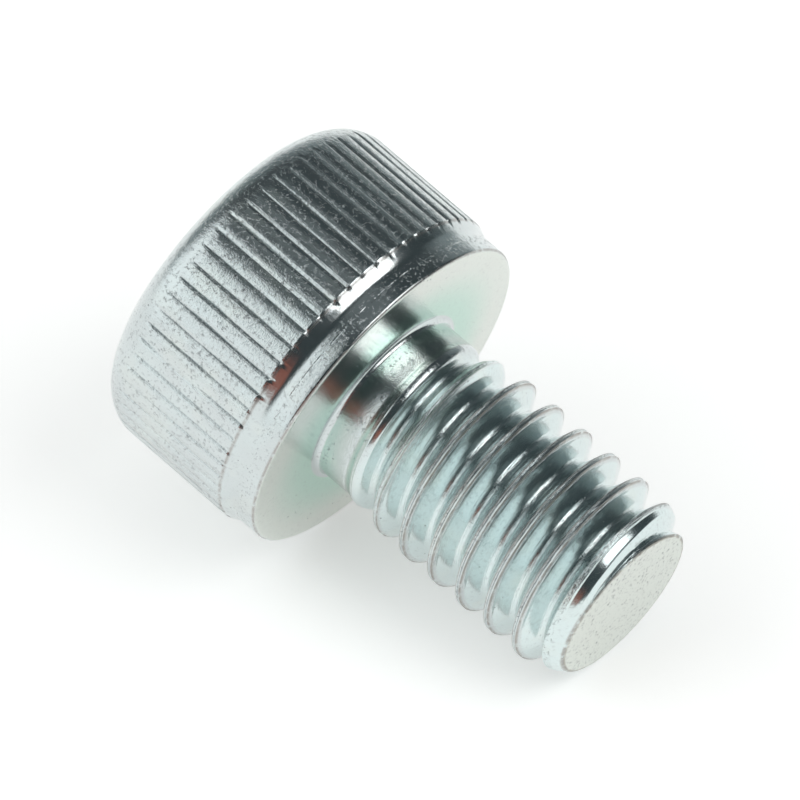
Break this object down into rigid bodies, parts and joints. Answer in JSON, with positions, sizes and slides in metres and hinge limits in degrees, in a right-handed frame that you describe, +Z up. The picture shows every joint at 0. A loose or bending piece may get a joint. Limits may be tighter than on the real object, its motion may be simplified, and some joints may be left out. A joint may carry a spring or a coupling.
{
  "type": "hex socket cap screw",
  "caption": "Short metric cap screw with a knurled round head, a hexagon socket and a right-hand thread, lying on its side.",
  "frame": {"origin": "centre of the bearing face under the head, on the screw's axis", "axes": "+Z up from the surface the screw lies on; +X the way the tip points, with the screw's axis in the XZ plane and sloping down to the tip by 15.29 degrees; +Y across the screw"},
  "size_m": [0.0107, 0.007, 0.0075],
  "materials": {
    "zinc_plated_steel": "bright zinc plating, satin to glossy, with fine pits and scratches"
  },
  "bodies": {
    "root": {"screw": "zinc_plated_steel"}
  },
  "joints": []
}
